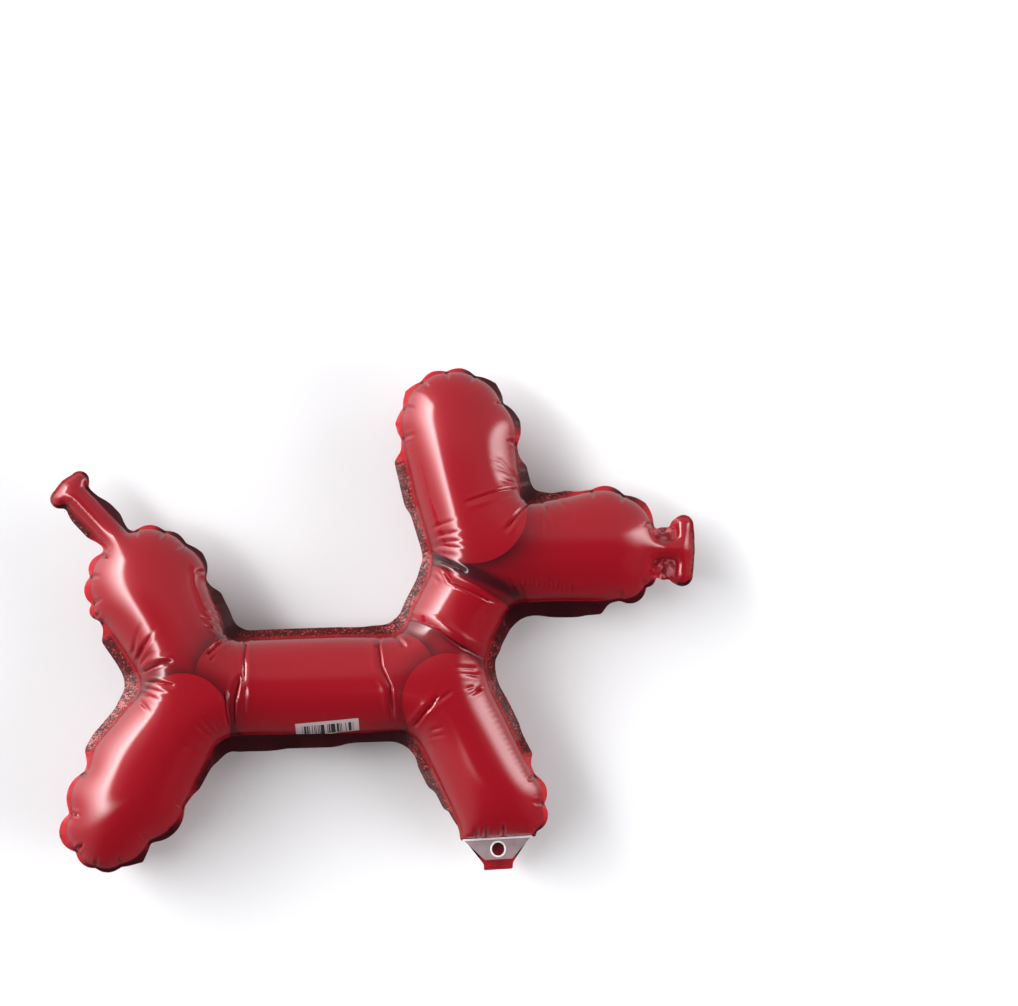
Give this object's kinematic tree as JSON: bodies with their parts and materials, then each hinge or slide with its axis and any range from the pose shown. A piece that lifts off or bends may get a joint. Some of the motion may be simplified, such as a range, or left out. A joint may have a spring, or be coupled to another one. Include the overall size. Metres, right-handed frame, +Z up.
{
  "type": "foil balloon dog",
  "caption": "Inflated foil party balloon shaped like a twisted balloon dog, with a welded flange, puckered limb ends and a filling neck; it lies on its side.",
  "frame": {"origin": "middle of the bounding box, on the surface that the balloon lies on", "axes": "+X from the tail to the nose, +Y from the feet to the ears, +Z up out of the seam plane, towards the face that the picture shows"},
  "size_m": [0.4006, 0.3144, 0.0656],
  "materials": {
    "red_foil": "printed metallised film, satin",
    "grey_film": "thin translucent film"
  },
  "bodies": {
    "root": {"balloon": "red_foil", "valve_film": "grey_film"}
  },
  "joints": []
}
